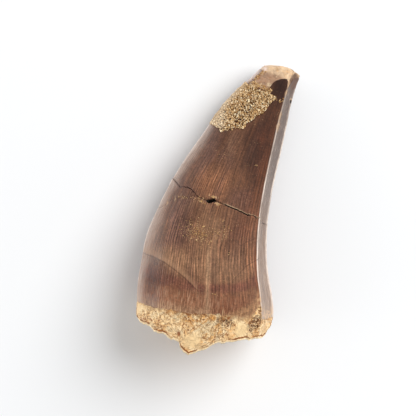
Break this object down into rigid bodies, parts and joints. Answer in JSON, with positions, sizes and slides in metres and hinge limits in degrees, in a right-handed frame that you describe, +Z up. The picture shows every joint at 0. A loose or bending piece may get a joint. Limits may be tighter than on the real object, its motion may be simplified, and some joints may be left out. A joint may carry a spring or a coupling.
{
  "type": "fossil mosasaur tooth",
  "caption": "Loose fossil reptile tooth with a curved brown enamel crown, a broken cream root stub and a crust of cemented sand, lying on its rounded side.",
  "frame": {"origin": "on the resting surface, under the middle of the bounding box", "axes": "+Y along the tooth towards its tip, +X towards the hollow rear side of the curve, +Z up from the surface it lies on"},
  "size_m": [0.0224, 0.0463, 0.016],
  "materials": {
    "fossil_tooth": "satin",
    "cemented_sand": "matte"
  },
  "bodies": {
    "root": {"tooth": "fossil_tooth", "sand_crust": "cemented_sand"}
  },
  "joints": []
}
